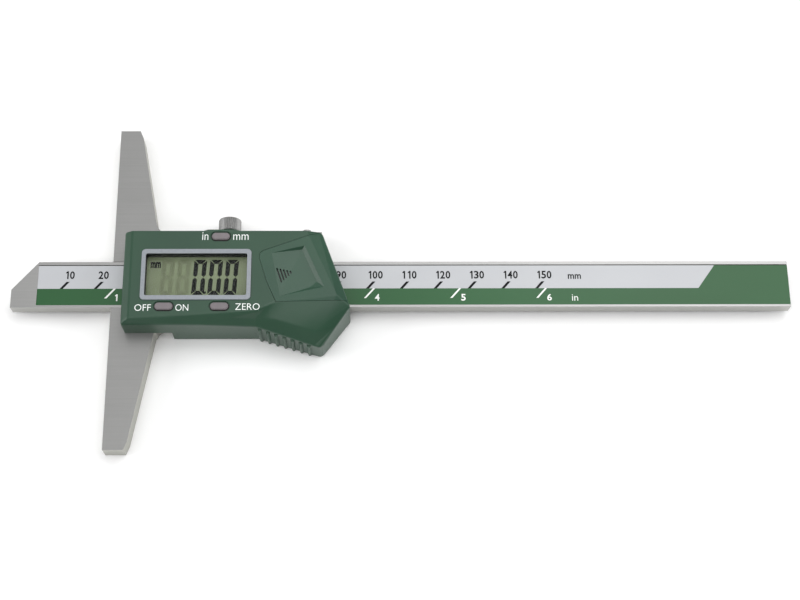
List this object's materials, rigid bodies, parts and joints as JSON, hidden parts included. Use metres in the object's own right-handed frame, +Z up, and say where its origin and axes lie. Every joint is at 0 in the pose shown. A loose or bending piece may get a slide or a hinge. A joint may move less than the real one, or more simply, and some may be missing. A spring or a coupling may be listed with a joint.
{
  "type": "digital depth caliper",
  "caption": "Digital depth caliper: a flat beam slides through a cross-shaped steel base; green housing with display, three keys, battery cover and knurled lock screw.",
  "frame": {"origin": "on the flat measuring face of the base, at the middle of the beam's width, at the level of the underside that the tool lies on", "axes": "+X runs along the beam away from the work, -X is the measuring direction, +Y points to the lock screw's side, +Z points up out of the display"},
  "size_m": [0.2295, 0.1, 0.0159],
  "materials": {
    "ground_steel": "satin, lengthwise ground",
    "frame_steel": "satin",
    "knob_steel": "turned, knurled",
    "screw_steel": "dark",
    "gib_bronze": "satin",
    "green_abs": "satin moulded",
    "cover_abs": "satin moulded",
    "bezel_silver": "silver paint",
    "clear_window": "clear acrylic",
    "display_cell": "grey-green cell",
    "black_plastic": "matt",
    "contact_rubber": "matt",
    "board_laminate": "lacquered",
    "printed_film": "printed film",
    "dome_steel": "bright",
    "button_grey": "satin",
    "cell_metal": "bright",
    "contact_brass": "gold plated"
  },
  "bodies": {
    "slider": {"slider_frame": "frame_steel", "gib_strip": "gib_bronze", "gib_screws": "screw_steel", "housing": "green_abs", "housing_screws": "screw_steel", "display_bezel": "bezel_silver", "display_window": "clear_window", "display_glass": "display_cell", "display_holder": "black_plastic", "contact_strips": "contact_rubber", "circuit_board": "board_laminate", "board_chip": "black_plastic", "board_screws": "screw_steel", "switch_domes": "dome_steel", "battery": "cell_metal", "contact_spring": "contact_brass", "contact_side": "contact_brass"},
    "beam": {"beam": "ground_steel", "sensor_strip": "board_laminate", "scale_label": "printed_film", "stop_plate": "ground_steel", "stop_screws": "screw_steel"},
    "lock_screw": {"lock_screw": "knob_steel"},
    "button_on_off": {"button_on_off": "button_grey"},
    "button_zero": {"button_zero": "button_grey"},
    "button_unit": {"button_unit": "button_grey"},
    "battery_cover": {"battery_cover": "cover_abs"}
  },
  "joints": [
    {"name": "beam_slide", "type": "slide", "parent": "slider", "child": "beam", "axis": [-1, 0, 0], "range_m": [-0.0294, 0.1206]},
    {"name": "lock_turn", "type": "hinge", "parent": "slider", "child": "lock_screw", "pos_m": [0.0339, 0.0187, 0.004], "axis": [0, 1, 0], "range_deg": [-36, 324]},
    {"name": "on_off_press", "type": "slide", "parent": "slider", "child": "button_on_off", "axis": [0, 0, -1], "range_m": [0, 0.00035], "stiffness_N_per_m": 4000},
    {"name": "zero_press", "type": "slide", "parent": "slider", "child": "button_zero", "axis": [0, 0, -1], "range_m": [0, 0.00035], "stiffness_N_per_m": 4000},
    {"name": "unit_press", "type": "slide", "parent": "slider", "child": "button_unit", "axis": [0, 0, -1], "range_m": [0, 0.00035], "stiffness_N_per_m": 4000},
    {"name": "cover_slide", "type": "slide", "parent": "slider", "child": "battery_cover", "axis": [0.9511, 0.309, 0], "range_m": [0, 0.008]}
  ]
}
